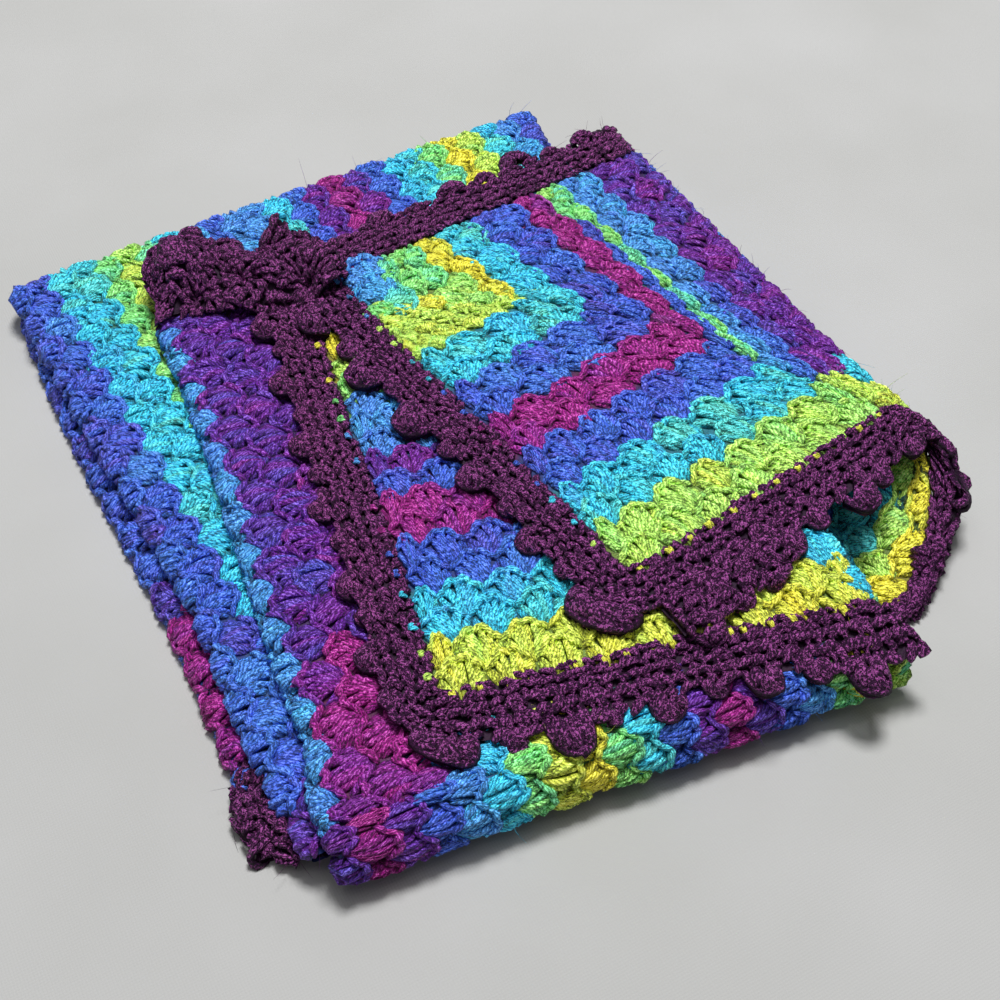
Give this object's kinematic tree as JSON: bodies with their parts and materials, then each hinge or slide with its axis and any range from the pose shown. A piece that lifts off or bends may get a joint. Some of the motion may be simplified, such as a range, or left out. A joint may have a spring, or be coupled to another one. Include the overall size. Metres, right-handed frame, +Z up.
{
  "type": "folded crochet afghan",
  "caption": "Striped crochet afghan with a dark picot edging, folded into a flat, uneven stack and lying on a surface.",
  "frame": {"origin": "centre of the folded afghan's footprint, on the surface it lies on", "axes": "+Z up, +Y from the rolled front to the back, +X along the front to the wrapped side"},
  "size_m": [0.3366, 0.3972, 0.0497],
  "materials": {
    "body_yarn": "self-striping worsted acrylic yarn, crocheted",
    "edging_yarn": "plum worsted acrylic yarn, crocheted"
  },
  "bodies": {
    "root": {"striped_body": "body_yarn", "edging_top": "edging_yarn", "edging_flap": "edging_yarn", "edging_ruffle": "edging_yarn"}
  },
  "joints": []
}
